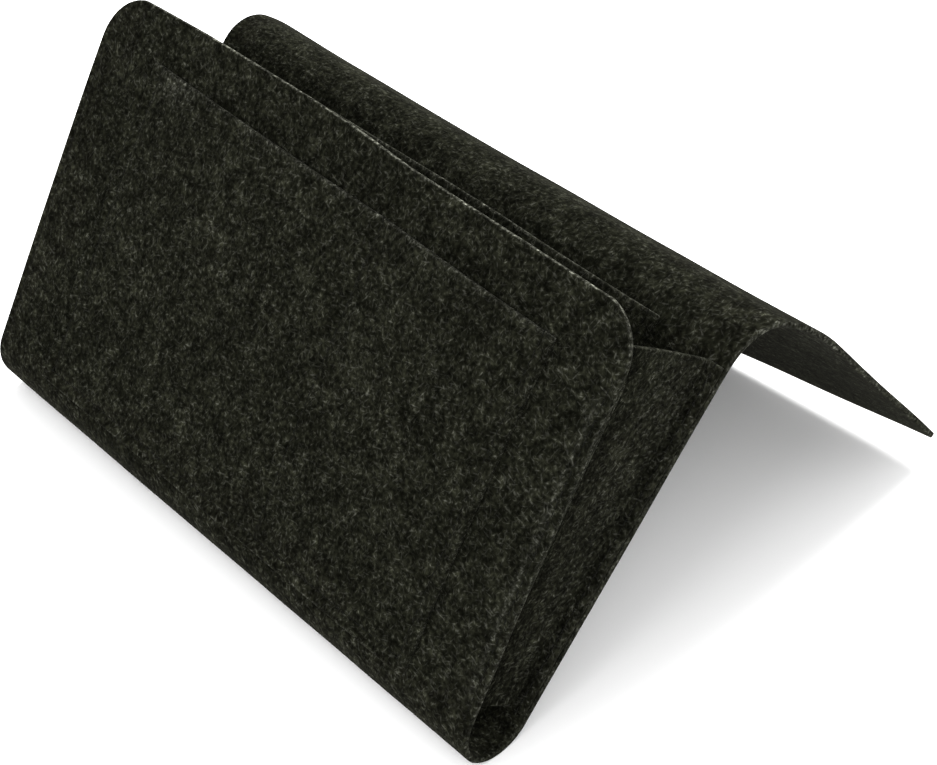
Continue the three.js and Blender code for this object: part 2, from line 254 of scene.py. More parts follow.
def felt_piece(name, flat, outward, fray, surface, wear_and_painted_light):
    """flat is a grid of places (x, along) on the cut, inset from its edge by EDGE_INSET.
    EDGE_STEPS are the cut edge's own rings, as (inset, share of half the felt). outward
    gives each ring point's direction off the cut, of no length where the sheet runs on
    into another. fray says how much each ring point's edge shows fraying. The last
    argument says how much lighter the front face is made, by brushed felt and by painted
    sheen, and is below nothing where painted shade darkens a fold. surface turns
    (x, along, depth) into space."""
    rows, columns = flat.shape[:2]
    ring = ring_of(rows, columns)
    ring_flat = np.array([flat[r, c] for r, c in ring])
    push = np.array([outward[r, c] for r, c in ring])
    ring_fray = np.array([fray[r, c] for r, c in ring])
    face_fray = np.zeros((rows, columns))
    for (r, c), value in zip(ring, ring_fray):
        face_fray[r, c] = FACE_FRAY * value
    points = [(p[0], p[1], HALF) for p in flat.reshape(-1, 2)]
    # The front face adds to its fray the brushed felt, the painted sheen and the painted shade
    # that a piece is given.
    fray_and_painted_light_values = [(face_fray + wear_and_painted_light).ravel()]
    for inset, share in EDGE_STEPS:
        moved = ring_flat + push * (EDGE_INSET - inset)
        points += [(p[0], p[1], HALF * share) for p in moved]
        fray_and_painted_light_values.append(ring_fray)
    back_start = len(points)
    points += [(p[0], p[1], -HALF) for p in flat.reshape(-1, 2)]
    fray_and_painted_light_values.append(face_fray.ravel())

    faces = []
    for r in range(rows - 1):
        for c in range(columns - 1):
            a = r * columns + c
            faces.append((a, a + 1, a + columns + 1, a + columns))
            faces.append(tuple(back_start + i for i in (a, a + columns, a + columns + 1, a + 1)))
    first = [r * columns + c for r, c in ring]
    loops = [first]
    for k in range(len(EDGE_STEPS)):
        start = rows * columns + k * len(ring)
        loops.append([start + i for i in range(len(ring))])
    loops.append([back_start + i for i in first])
    for upper, lower in zip(loops, loops[1:]):
        for i in range(len(ring)):
            j = (i + 1) % len(ring)
            faces.append((upper[i], lower[i], lower[j], upper[j]))

    cut = np.array(points)
    place = surface(cut[:, 0], cut[:, 1], cut[:, 2])
    place = place + np.array([0.0, SHIFT, 0.0])
    mesh = bpy.data.meshes.new(name)
    mesh.from_pydata((place / 1000).tolist(), [], faces)
    cut_place = mesh.attributes.new("cut_place", "FLOAT_VECTOR", "POINT")
    cut_place.data.foreach_set("vector", (cut / 1000).astype(np.float32).ravel())
    # This attribute carries the cut edges' paler fibres and brushed felt, and also the painted
    # sheen and painted shade on front faces.
    fray_wear_and_painted_light = mesh.attributes.new("fray_wear_and_painted_light", "FLOAT", "POINT")
    fray_wear_and_painted_light.data.foreach_set("value", np.concatenate(fray_and_painted_light_values).astype(np.float32))
    mesh.shade_smooth()
    piece = bpy.data.objects.new(name, mesh)
    bpy.context.scene.collection.objects.link(piece)
    return piece


# %% Make the faces point outwards, and keep square ends sharp
SHARP_ANGLE = math.radians(62)


def finish_mesh(piece):
    build = bmesh.new()
    build.from_mesh(piece.data)
    bmesh.ops.recalc_face_normals(build, faces=build.faces)
    volume = build.calc_volume(signed=True)
    if volume < 0:
        bmesh.ops.reverse_faces(build, faces=build.faces)
    build.to_mesh(piece.data)
    build.free()
    piece.data.set_sharp_from_angle(angle=SHARP_ANGLE)
    millilitres = round(abs(volume) * 1e6, 1)
    print(piece.name, "faces", len(piece.data.polygons), "volume", millilitres, "ml")
    return piece


def outward_all_round(grid):
    """Directions off the cut for a piece whose four edges are all cut edges."""
    push = np.zeros_like(grid)
    push[:, 0, 0], push[:, -1, 0] = -1, 1
    push[0, :, 1], push[-1, :, 1] = -1, 1
    for r in (0, -1):
        for c in (0, -1):
            push[r, c] *= DIAGONAL
    return push


# %% [markdown]
# ## The long sheet
#
# On the real caddy the long sheet is one piece. Here it moves with three bodies, and a
# mesh can only bend between two. So it is made as two meshes that meet in the flat part
# of the back panel, behind the inner pocket. Their points on that line are the same, so
# no join shows.
#
# Felt is never dead flat. A slow, shallow wave moves the panel and everything that lies
# on it together, so that the pieces stay as far apart as they were.

# %% A slow wave in the felt
PANEL_WAVE = (55.0, 0.45, 3.1)


def wave(x, along, size, height, seed):
    x, along = np.asarray(x, float), np.asarray(along, float)
    place = np.stack([x / size, along / size, np.full(x.shape, seed)], -1)
    values = np.array([noise.noise(Vector(p)) for p in place.reshape(-1, 3)])
    return height * values.reshape(x.shape)


FRONT_SEAMS = (-177.3, 177.3)
GUSSET_HIGH = 175.0
GUSSET_FRONT = 161.5
GUSSET_LOW = 1.5


def groove(distance, depth, width):
    """How deep the thread pulls the felt in, at a distance from the seam line."""
    return depth * np.exp(-((distance / width) ** 2))


def within(value, low, high, soft):
    """1 between low and high, fading to 0 over a soft length."""
    return np.clip((value - low) / soft, 0, 1) * np.clip((high - value) / soft, 0, 1)


# %% The long sheet's surface
S_FOLD = FRONT_HEIGHT
S_BACK = S_FOLD + BOTTOM_LENGTH
S_TOP = S_BACK + BACK_HEIGHT
S_FLAP = S_TOP + TOP_LENGTH
S_END = S_FLAP + FLAP_LENGTH
FRONT_PRESS = 0.55
BACK_PRESS = 0.4
PRESS_WIDTH = 1.3
PRESS_ENDS = 2.0
BELLY = 0.9
FRONT_WIDER = 2.7
WIDER_FADE = 55.0


def sheet_surface(x, along, depth):
    """Each stretch of the sheet has its own helper, and where along it a point is picks one."""
    up_front = S_FOLD - along
    _, height, _, _ = bend_at(x)
    up_back = (along - S_BACK) * np.where(along > S_BACK, height / BACK_HEIGHT, 1.0)
    pressed = np.zeros_like(x)
    for seam in FRONT_SEAMS:
        near = np.abs(x - seam)
        sewn_front = within(up_front, GUSSET_LOW, GUSSET_FRONT, PRESS_ENDS)
        sewn_back = within(up_back, GUSSET_LOW, GUSSET_HIGH, PRESS_ENDS)
        pressed += groove(near, FRONT_PRESS, PRESS_WIDTH) * sewn_front
        pressed += groove(near, BACK_PRESS, PRESS_WIDTH) * sewn_back
    outer = np.clip(depth / HALF, 0, 1)
    depth = depth - pressed * outer
    ripple = wave(x, along, *PANEL_WAVE)
    away_from_ends = np.clip(1 - (x / HALF_WIDTH) ** 2, 0, 1)
    belly = BELLY * away_from_ends * within(along, S_FOLD - 25, S_FOLD + 28, 22.0)
    to_the_right = np.clip(x / HALF_WIDTH, 0, 1) ** 3
    wider = FRONT_WIDER * to_the_right * np.clip((S_BACK - along) / WIDER_FADE, 0, 1)
    wider = wider * (1 - 0.65 * np.clip(up_front, 0, None) / S_FOLD)
    panel = on_front(x + wider, up_front, MIDDLE + depth + ripple + belly)
    bottom = on_bottom_fold(x + wider, along - S_FOLD, depth + ripple + belly)
    back = on_back(x, up_back, -(MIDDLE + depth + ripple))
    top = on_top_fold(x, along - S_TOP, depth + ripple)
    flap = on_flap(x, along - S_FLAP, depth + ripple)
    place = np.where((along < S_FOLD)[:, None], panel, bottom)
    place = np.where((along >= S_BACK)[:, None], back, place)
    place = np.where((along >= S_TOP)[:, None], top, place)
    return np.where((along >= S_FLAP)[:, None], flap, place)


# %% Two meshes for the long sheet
EDGE_KNOTS = (-181, -150, -112, -75, -37, 0, 37, 75, 112, 150)
EDGE_RISE = (-0.1, 1.4, 2.8, 3.1, 3.4, 2.8, 0.6, 0.2, 0.0, -0.4)
RISE_FADE = 40.0
TOP_FRAY = 1.2
SIDE_FRAY = 0.4
BEND_FRAY = 0.7
SEAM_FRAY = 0.65
# Over these places past the flap's start the top bend's felt is made lighter: a painted sheen, not
# a change in the felt.
RIDGE_SHEEN_KNOTS = (-18, 2, 12, 24, 48, 95)
RIDGE_PAINTED_SHEEN = (0.0, 0.35, 0.45, 0.5, 0.4, 0.0)
S_SPLIT = S_BACK + 62.0
columns = lines(-HALF_WIDTH, HALF_WIDTH, FRONT_SEAMS)


def free_edge_rise(x):
    """The front panel's free edge is not cut dead straight: it rises left of the middle."""
    return np.interp(x, EDGE_KNOTS, EDGE_RISE)


def corner_half_width(along):
    deep = np.clip(CORNER - along, 0, CORNER)
    return HALF_WIDTH - CORNER + np.sqrt(np.clip(CORNER**2 - deep**2, 0, None))


def sheet_part(name, alongs, front_end, last_end):
    """One stretch of the sheet. An end that runs on into the other stretch has no cut edge."""
    grid = np.zeros((len(alongs), len(columns), 2))
    push = np.zeros_like(grid)
    for row, along in enumerate(alongs):
        half = corner_half_width(along) if front_end else HALF_WIDTH
        grid[row, :, 0] = columns * (half - EDGE_INSET) / (HALF_WIDTH - EDGE_INSET)
        grid[row, :, 1] = along
        if front_end:
            grid[row, :, 1] -= free_edge_rise(grid[row, :, 0]) * max(0.0, 1 - along / RISE_FADE)
    push[:, 0, 0], push[:, -1, 0] = -1, 1
    side_fray = np.interp(
        alongs, (0, CORNER, S_FOLD, S_TOP - 20, S_TOP, S_FLAP + 20, S_END),
        (TOP_FRAY, SIDE_FRAY, SIDE_FRAY, SIDE_FRAY, BEND_FRAY, BEND_FRAY, SIDE_FRAY))
    fray = np.full(grid.shape[:2], TOP_FRAY)
    fray[:, 0], fray[:, -1] = side_fray, side_fray
    from_seam = (grid[..., 0] - FRONT_SEAMS[1] + 2.3) / 1.5
    sewn = within(S_FOLD - alongs, GUSSET_LOW, GUSSET_FRONT, 12.0)
    wear_and_painted_light = SEAM_FRAY * np.exp(-(from_seam**2)) * sewn[:, None]
    # Round the top bend the front face is lightened as painted sheen.
    wear_and_painted_light += np.interp(alongs - S_FLAP, RIDGE_SHEEN_KNOTS, RIDGE_PAINTED_SHEEN)[:, None]
    if front_end:
        push[0, :, 1] = -1
        for row, along in enumerate(alongs):
            if along < CORNER:
                lean = math.asin(min(1.0, (CORNER - along) / CORNER))
                push[row, 0] = (-math.cos(lean), -math.sin(lean))
                push[row, -1] = (math.cos(lean), -math.sin(lean))
    if last_end:
        push[-1, :, 1] = 1
        push[-1, 0] = (-DIAGONAL, DIAGONAL)
        push[-1, -1] = (DIAGONAL, DIAGONAL)
    return finish_mesh(felt_piece(name, grid, push, fray, sheet_surface, wear_and_painted_light))


corner_reach = CORNER - EDGE_INSET
corner_rows = [CORNER - corner_reach * math.sin(math.radians(a)) for a in range(90, 0, -9)]
front_rows = np.concatenate([
    corner_rows,
    np.arange(CORNER, S_FOLD - 2, GRID_STEP),
    np.linspace(S_FOLD, S_BACK, 36),
    np.linspace(S_BACK, S_SPLIT, 16)[1:],
])
rear_rows = np.concatenate([
    np.linspace(S_SPLIT, S_TOP, 29),
    np.linspace(S_TOP, S_FLAP, 30)[1:],
    np.linspace(S_FLAP, S_END, 49)[1:-1],
    [S_END - EDGE_LOOP, S_END - EDGE_INSET],
])
front_sheet = sheet_part("front_sheet", front_rows, True, False)
rear_sheet = sheet_part("rear_sheet", rear_rows, False, True)

# %% [markdown]
# ## The two patch pockets
#
# A patch pocket is a rectangle of felt sewn down on three sides. Three things tell it
# from a stuck-on plate. The seam pulls a groove a few millimetres inside its edge. The
# free edge outside the seam lifts a little. And between the seams the felt stands off
# the panel in a shallow arch, most at the mouth.

# %% Pocket sizes
POCKET_HALF = 140.25
POCKET_HEIGHT = 168.3
INSET = 6.0
GAPE = 2.5
FRONT_POCKET_LOW = -1.0
FRONT_CENTRE_LOW = 3.25
FRONT_CENTRE_HIGH = 6.0
DIVIDER = 31.8
FRONT_POCKET_SEAMS = (-POCKET_HALF + INSET, DIVIDER, POCKET_HALF - INSET)
BACK_POCKET_SEAMS = (FRONT_POCKET_SEAMS[0], FRONT_POCKET_SEAMS[2])
BACK_POCKET_LOW = BACK_HEIGHT + 0.5 - POCKET_HEIGHT
MOUTH_DROP = 0.0115
MOUTH_DROP_RIGHT = 0.009
MOUTH_KNOTS = (0, 37, 75, 112, 140)
MOUTH_RISE = (2.3, 1.9, 0.7, 0.1, -0.1)


# %% How a patch pocket stands off its panel
POCKET_PRESS = 0.85
POCKET_PRESS_WIDTH = 1.5
EDGE_LIFT = 0.35


def pocket_lift(x, rise, seams):
    """The arch between each pair of upright seams, growing towards the mouth."""
    lift = np.zeros_like(x)
    for left, right in zip(seams, seams[1:]):
        across = np.clip((x - left) / (right - left), 0, 1)
        lift += GAPE * np.sin(math.pi * across) ** 0.8 * np.clip(rise, 0, 1) ** 2
    return lift


def pocket_press(x, height, seams):
    """How far the seams press the pocket in, and how much its free edge lifts."""
    pressed = np.zeros_like(x)
    for seam in seams:
        above = np.clip((height - INSET + 1) / 2, 0, 1)
        pressed += groove(np.abs(x - seam), POCKET_PRESS, POCKET_PRESS_WIDTH) * above
    between = (x > seams[0]) & (x < seams[-1])
    pressed += groove(np.abs(height - INSET), POCKET_PRESS, POCKET_PRESS_WIDTH) * between
    outside = np.maximum(np.maximum(seams[0] - x, x - seams[-1]), INSET - height)
    return pressed - EDGE_LIFT * np.clip((outside - 1.5) / 4.0, 0, 1)


def pocket_stands(x, height, depth, seams):
    """How far up the pocket a point is, as a share, and how far it is off the panel."""
    rise = (height - INSET) / (POCKET_HEIGHT - INSET)
    lift = pocket_lift(x, rise, seams)
    outer = np.clip(depth / HALF, 0, 1)
    return rise, GAP + HALF + depth + lift - pocket_press(x, height, seams) * outer


# %% The two pockets' surfaces
def front_pocket_surface(x, height, depth):
    _, outwards = pocket_stands(x, height, depth, FRONT_POCKET_SEAMS)
    centre = FRONT_CENTRE_LOW + (FRONT_CENTRE_HIGH - FRONT_CENTRE_LOW) * height / POCKET_HEIGHT
    real_x = x + centre
    to_the_right = np.clip(x, 0, None) / POCKET_HALF
    drop = MOUTH_DROP * x / POCKET_HALF + MOUTH_DROP_RIGHT * to_the_right**2
    up = FRONT_POCKET_LOW + height * (1 - drop)
    ripple = wave(real_x, S_FOLD - up, *PANEL_WAVE)
    return on_front(real_x, up, BOTTOM_RADIUS + outwards + ripple)


def inner_pocket_surface(x, height, depth):
    rise, outwards = pocket_stands(x, height, depth, BACK_POCKET_SEAMS)
    up = BACK_POCKET_LOW + height
    up = up + np.clip(rise, 0, 1) * np.interp(x, MOUTH_KNOTS, MOUTH_RISE)
    ripple = wave(x, S_BACK + up, *PANEL_WAVE)
    return on_back(x, up, -(BOTTOM_RADIUS - FELT) + outwards - ripple)


# %% Cut and place both pockets
POCKET_FRAY = 0.8
POCKET_SIDE_FRAY = 0.15
MOUTH_FRAY = 0.28
MOUTH_WORN = 2.6
CORNER_WORN = 0.6
WORN_AT = (22.0, 5.0)
WORN_SIZE = (16.0, 6.0)
HEIGHTS = lines(0.0, POCKET_HEIGHT, (INSET,))


def rectangle_piece(name, seams, surface, corner_worn):
    """corner_worn says how brushed the felt is at the left end of the mouth."""
    grid = np.stack(np.meshgrid(lines(-POCKET_HALF, POCKET_HALF, seams), HEIGHTS), -1)
    fray = np.full(grid.shape[:2], POCKET_FRAY)
    fray[1:-1, 0], fray[1:-1, -1] = POCKET_SIDE_FRAY, POCKET_SIDE_FRAY
    from_mouth = grid[..., 1] - POCKET_HEIGHT
    wear_and_painted_light = MOUTH_FRAY * np.exp(-((from_mouth / MOUTH_WORN) ** 2))
    from_side = grid[..., 0] + POCKET_HALF
    from_corner = np.hypot(
        (from_side - WORN_AT[0]) / WORN_SIZE[0], (from_mouth + WORN_AT[1]) / WORN_SIZE[1])
    wear_and_painted_light += corner_worn * np.exp(-(from_corner**2))
    return finish_mesh(felt_piece(name, grid, outward_all_round(grid), fray, surface, wear_and_painted_light))


patch_pocket = rectangle_piece(
    "patch_pocket_felt", FRONT_POCKET_SEAMS, front_pocket_surface, CORNER_WORN)
inner_pocket = rectangle_piece(
    "inner_pocket_felt", BACK_POCKET_SEAMS, inner_pocket_surface, 0.0)

# %% [markdown]
# ## The side gussets
#
# Each gusset is a strip that closes one end of the main pocket. A narrow flange is sewn
# to each panel, and the web between them is folded at right angles to both. The web is
# wider at the top, so on the flat cut the strip is a wedge. The folds are round: felt of
# three millimetres won't take a crease.

# %% Gusset surface
FLANGE = 7.5
WEB_X = HALF_WIDTH - FLANGE - HALF
FOLD_R = 2.2
WEB_SAG = 2.2
WEB_WAVE = (40.0, 0.5)
FLANGE_OUT = BOTTOM_RADIUS - FELT - GAP - HALF
GUSSET_LENGTH = GUSSET_HIGH - GUSSET_LOW


def web_ends(share, side):
    """Where the web meets the front panel and the back panel, at a share of its height."""
    up = GUSSET_LOW + (GUSSET_HIGH - GUSSET_LOW) * share
    zero = np.zeros_like(share)
    front = on_front(zero + side * HALF_WIDTH, up, zero + FLANGE_OUT)
    return front, on_back(zero, up, zero - FLANGE_OUT)


def gusset_surface(side):
    def surface(across, along, depth):
        share = along / GUSSET_LENGTH
        front, back = web_ends(share, side)
        span = back[:, 1:] - front[:, 1:]
        width = np.linalg.norm(span, axis=1)
        unit = span / width[:, None]
        corner = width / 2
        reach = np.abs(across) - corner
        quarter = FOLD_R * math.pi / 2
        turn = np.clip((reach + quarter / 2) / quarter, 0, 1) * math.pi / 2
        on_flange = np.clip(reach - quarter / 2, 0, None)
        on_web = np.clip(-reach - quarter / 2, 0, None)
        middle_to = corner - FOLD_R + FOLD_R * np.sin(turn)
        middle_to = np.where(reach < -quarter / 2, corner - FOLD_R - on_web, middle_to)
        sideways = FOLD_R * (1 - np.cos(turn)) + on_flange
        from_folds = np.clip(1 - (np.abs(across) / corner) ** 2, 0, 1)
        sag = WEB_SAG * from_folds * (0.35 + 0.65 * share)
        ripple = wave(across, along, *WEB_WAVE, 7.7 * side)
        x = WEB_X - sag + ripple * (turn < 0.1) + sideways
        normal_x, normal_t = np.cos(turn), -np.sin(turn)
        x = x + depth * normal_x
        t = np.sign(across) * (middle_to + depth * normal_t)
        centre = (front[:, 1:] + back[:, 1:]) / 2
        yz = centre + unit * t[:, None]
        return np.concatenate([(side * x)[:, None], yz], 1)

    return surface


# %% Cut both gussets
WEB_MARGIN = 3.4
FLANGE_COLUMNS = np.array([3.6, 5.6, 7.6])
GUSSET_FRAY = 0.35
# The web is darkened near its front fold as painted shade, and lifted a little lighter all over as
# painted light.
FOLD_SHADE = 1.4
SHADE_WIDTH = 18.0
WEB_PAINTED_LIGHT = 0.14


def gusset(name, side):
    """The strip's front edge is cut shorter. Near that fold the felt is darkened as painted
    shade, and the whole web is lifted a little lighter as painted light.
    """
    alongs = lines(0.0, GUSSET_LENGTH)
    front, back = web_ends(alongs / GUSSET_LENGTH, side)
    widths = np.linalg.norm(back[:, 1:] - front[:, 1:], axis=1)
    web = np.linspace(-1, 1, 21)[1:-1]
    folds = np.linspace(-FOLD_R, FOLD_R, 7)
    outer = np.concatenate([folds, FLANGE_COLUMNS])
    grid = np.zeros((len(alongs), len(web) + 2 * len(outer), 2))
    for row, (along, width) in enumerate(zip(alongs, widths)):
        right = width / 2 + outer
        inner = web * (width / 2 - WEB_MARGIN)
        grid[row, :, 0] = np.concatenate([-right[::-1], inner, right])
        fold_ends = [-width / 2 - 1.5, -width / 2 + FOLD_R]
        cut_down = np.interp(grid[row, :, 0], fold_ends, [1.0, 0.0])
        grid[row, :, 1] = along - (along / GUSSET_LENGTH) * (GUSSET_HIGH - GUSSET_FRONT) * cut_down
    fray = np.full(grid.shape[:2], GUSSET_FRAY)
    fray[:, -1] = 0.0
    from_fold = grid[..., 0] + widths[:, None] / 2
    # Painted shade near the front fold, and a small painted lift of light over the whole web.
    shade = WEB_PAINTED_LIGHT - FOLD_SHADE * np.exp(-((from_fold / SHADE_WIDTH) ** 2))
    surface = gusset_surface(side)
    return finish_mesh(felt_piece(name, grid, outward_all_round(grid), fray, surface, shade))


gusset_right = gusset("gusset_right_felt", 1.0)
gusset_left = gusset("gusset_left_felt", -1.0)

# %% [markdown]
# ## Stitches
#
# A machine seam is one short stitch after another, each dipping into the felt at both
# ends. That is a pattern along a path, so Geometry Nodes make it: the path becomes a
# curve, points are set along it one stitch apart, and a small elongated bead of thread is
# placed on each. The result is made real, because the export drops instances.

# %% The stitch tree
def stitch_tree(thread_material):
    tree = bpy.data.node_groups.new("stitches_along_a_path", "GeometryNodeTree")
    face = tree.interface
    face.new_socket("Path", in_out="INPUT", socket_type="NodeSocketGeometry")
    for label, value in (("Pitch", 0.0045), ("Stitch Length", 0.0037), ("Thread Radius", 0.00032)):
        socket = face.new_socket(label, in_out="INPUT", socket_type="NodeSocketFloat")
        socket.default_value = value
    seed = face.new_socket("Seed", in_out="INPUT", socket_type="NodeSocketInt")
    seed.default_value = 1
    face.new_socket("Stitches", in_out="OUTPUT", socket_type="NodeSocketGeometry")
    node, link = tree.nodes.new, tree.links.new
    given, out = node("NodeGroupInput"), node("NodeGroupOutput")
    curve = node("GeometryNodeMeshToCurve")
    points = node("GeometryNodeCurveToPoints")
    points.mode = "LENGTH"
    bead = node("GeometryNodeMeshUVSphere")
    bead.inputs["Segments"].default_value = 8
    bead.inputs["Rings"].default_value = 6
    bead.inputs["Radius"].default_value = 1.0
    smooth = node("GeometryNodeSetShadeSmooth")
    half = node("ShaderNodeMath")
    half.operation = "MULTIPLY"
    half.inputs[1].default_value = 0.5
    scale = node("ShaderNodeCombineXYZ")
    vary = node("FunctionNodeRandomValue")
    vary.data_type = "FLOAT"
    vary.inputs[2].default_value = 0.9
    vary.inputs[3].default_value = 1.08
    sized = node("ShaderNodeVectorMath")
    sized.operation = "SCALE"
    place = node("GeometryNodeInstanceOnPoints")
    real = node("GeometryNodeRealizeInstances")
    dress = node("GeometryNodeSetMaterial")
    dress.inputs["Material"].default_value = thread_material
    link(given.outputs["Path"], curve.inputs[0])
    link(curve.outputs[0], points.inputs["Curve"])
    link(given.outputs["Pitch"], points.inputs["Length"])
    link(given.outputs["Stitch Length"], half.inputs[0])
    link(given.outputs["Thread Radius"], scale.inputs["X"])
    link(given.outputs["Thread Radius"], scale.inputs["Y"])
    link(half.outputs[0], scale.inputs["Z"])
    link(given.outputs["Seed"], vary.inputs["Seed"])
    link(scale.outputs[0], sized.inputs[0])
    link(vary.outputs[1], sized.inputs["Scale"])
    link(bead.outputs["Mesh"], smooth.inputs["Geometry"])
    link(points.outputs["Points"], place.inputs["Points"])
    link(smooth.outputs[0], place.inputs["Instance"])
    link(points.outputs["Rotation"], place.inputs["Rotation"])
    link(sized.outputs[0], place.inputs["Scale"])
    link(place.outputs[0], real.inputs[0])
    link(real.outputs[0], dress.inputs["Geometry"])
    link(dress.outputs[0], out.inputs["Stitches"])
    return tree


# %% [markdown]
# ## The felt
#
# Marled felt is dyed fibre pressed flat: mostly near black, with paler fibres scattered
# through it. From where the camera stands, single fibres are too thin to see. What shows
# is their clumps, a millimetre or two across, and slower clouds. How bright a clump is
# spreads out evenly on a scale of ratios, not of differences. So the layers are added up
# first, and the sum is the exponent of the felt's brightness. That keeps the dark base
# dark and lets a few clumps stand out, as on the real felt.

# %% Small helpers for material nodes
def math_node(tree, operation, a, b=None, clamp=False):
    made = tree.nodes.new("ShaderNodeMath")
    made.operation = operation
    made.use_clamp = clamp
    for index, value in enumerate((a, b)):
        if value is None:
            continue
        if isinstance(value, (int, float)):
            made.inputs[index].default_value = value
        else:
            tree.links.new(value, made.inputs[index])
    return made.outputs[0]


def spread(tree, value, low, high):
    """0 below low and 1 above high, with a smooth rise between."""
    made = tree.nodes.new("ShaderNodeMapRange")
    made.interpolation_type = "SMOOTHSTEP"
    tree.links.new(value, made.inputs["Value"])
    made.inputs["From Min"].default_value = low
    made.inputs["From Max"].default_value = high
    return made.outputs["Result"]


def grain(tree, vector, scale, detail, stretch=None, turn=0.0, shift=0.0):
    """Noise on the cut's own places, stretched along one direction where asked."""
    if stretch:
        mapping = tree.nodes.new("ShaderNodeMapping")
        mapping.vector_type = "TEXTURE"
        mapping.inputs["Rotation"].default_value = (0, 0, turn)
        mapping.inputs["Location"].default_value = (shift, shift * 0.7, shift * 1.3)
        mapping.inputs["Scale"].default_value = (stretch, 1, 1)
        tree.links.new(vector, mapping.inputs["Vector"])
        vector = mapping.outputs[0]
    made = tree.nodes.new("ShaderNodeTexNoise")
    made.inputs["Scale"].default_value = scale
    made.inputs["Detail"].default_value = detail
    tree.links.new(vector, made.inputs["Vector"])
    return made.outputs["Fac"]


# %% The marled felt
FELT_BASE = (0.00625, 0.00652, 0.00420)
FELT_PALE = (0.00650, 0.00660, 0.00535)


def marled_felt(name="marled_felt"):
    material = bpy.data.materials.new(name)
    material.use_nodes = True
    tree = material.node_tree
    shader = tree.nodes["Principled BSDF"]
    shader.inputs["Roughness"].default_value = 1.0
    shader.inputs["Specular IOR Level"].default_value = 0.0
    place = tree.nodes.new("ShaderNodeAttribute")
    place.attribute_name = "cut_place"
    where = place.outputs["Vector"]
    # This node reads the fray, the wear, the painted sheen and the painted shade of each point.
    fray = tree.nodes.new("ShaderNodeAttribute")
    fray.attribute_name = "fray_wear_and_painted_light"

    clumps = grain(tree, where, 470.0, 1.4)
    clouds = grain(tree, where, 125.0, 1.0)
    slow = grain(tree, where, 24.0, 1.0)
    fibres = None
    for index, turn in enumerate((0.3, 1.1, 1.9, 2.7)):
        one = grain(tree, where, 1050.0, 0.4, stretch=3.0, turn=turn, shift=0.11 * (index + 1))
        one = spread(tree, one, 0.58, 0.82)
        fibres = one if fibres is None else math_node(tree, "MAXIMUM", fibres, one)
    tufts = spread(tree, grain(tree, where, 620.0, 1.5), 0.36, 0.66)
    # This layer carries the cut edges' paler fibres and brushed felt, and also the painted sheen
    # on the top bend and the painted shade in the gusset folds.
    edge = math_node(tree, "MULTIPLY", fray.outputs["Fac"], math_node(tree, "ADD", tufts, 0.35))

    exponent = math_node(tree, "MULTIPLY", math_node(tree, "SUBTRACT", clumps, 0.5), 4.0)
    layers = ((clouds, 0.5, 2.0), (slow, 0.5, 0.9), (fibres, 0.12, 1.35), (edge, 0.0, 1.45))
    for layer, middle, amount in layers:
        part = math_node(tree, "MULTIPLY", math_node(tree, "SUBTRACT", layer, middle), amount)
        exponent = math_node(tree, "ADD", exponent, part)
    tone = math_node(tree, "EXPONENT", exponent)

    mixed = tree.nodes.new("ShaderNodeMix")
    mixed.data_type = "RGBA"
    mixed.inputs["A"].default_value = (*FELT_BASE, 1)
    mixed.inputs["B"].default_value = (*FELT_PALE, 1)
    tree.links.new(math_node(tree, "ADD", fibres, edge, clamp=True), mixed.inputs["Factor"])
    scaled = tree.nodes.new("ShaderNodeVectorMath")
    scaled.operation = "SCALE"
    tree.links.new(mixed.outputs["Result"], scaled.inputs[0])
    tree.links.new(tone, scaled.inputs["Scale"])
    tree.links.new(scaled.outputs[0], shader.inputs["Base Color"])

    shader.inputs["Sheen Weight"].default_value = 0.018
    shader.inputs["Sheen Roughness"].default_value = 0.4
    shader.inputs["Sheen Tint"].default_value = (1.0, 0.99, 0.86, 1)
    height = math_node(tree, "ADD", clumps, math_node(tree, "MULTIPLY", fibres, 0.35))
    bump = tree.nodes.new("ShaderNodeBump")
    bump.inputs["Strength"].default_value = 0.6
    bump.inputs["Distance"].default_value = 0.0005
    tree.links.new(height, bump.inputs["Height"])
    tree.links.new(bump.outputs["Normal"], shader.inputs["Normal"])
    return material


# %% The thread
def spun_thread(name="spun_thread"):
    material = bpy.data.materials.new(name)
    material.use_nodes = True
    tree = material.node_tree
    shader = tree.nodes["Principled BSDF"]
    shader.inputs["Roughness"].default_value = 0.85
    shader.inputs["Specular IOR Level"].default_value = 0.03
    coordinates = tree.nodes.new("ShaderNodeTexCoord")
    twist = grain(tree, coordinates.outputs["Object"], 2600.0, 2.0)
    mixed = tree.nodes.new("ShaderNodeMix")
    mixed.data_type = "RGBA"
    mixed.inputs["A"].default_value = (0.0030, 0.0031, 0.0026, 1)
    mixed.inputs["B"].default_value = (0.0075, 0.0077, 0.0062, 1)
    tree.links.new(spread(tree, twist, 0.38, 0.62), mixed.inputs["Factor"])
    tree.links.new(mixed.outputs["Result"], shader.inputs["Base Color"])
    return material


felt_material = marled_felt()
thread_material = spun_thread()
felt_pieces = [front_sheet, rear_sheet, patch_pocket, inner_pocket, gusset_right, gusset_left]
for piece in felt_pieces:
    piece.data.materials.append(felt_material)
print(len(felt_pieces), "felt pieces dressed")

# %% [markdown]
# ## Sewing the seams
#
# Each seam's path is worked out with the same surface helpers as the felt, so the stitches
# lie in the grooves. A real seam shows on both faces of what it sews. Only the outer face's
# stitches are made here, as the other face is hidden or seldom seen.

# %% Lay a row of stitches
stitches = stitch_tree(thread_material)
inputs = [item for item in stitches.interface.items_tree if item.in_out == "INPUT"]
socket_named = {item.name: item.identifier for item in inputs}


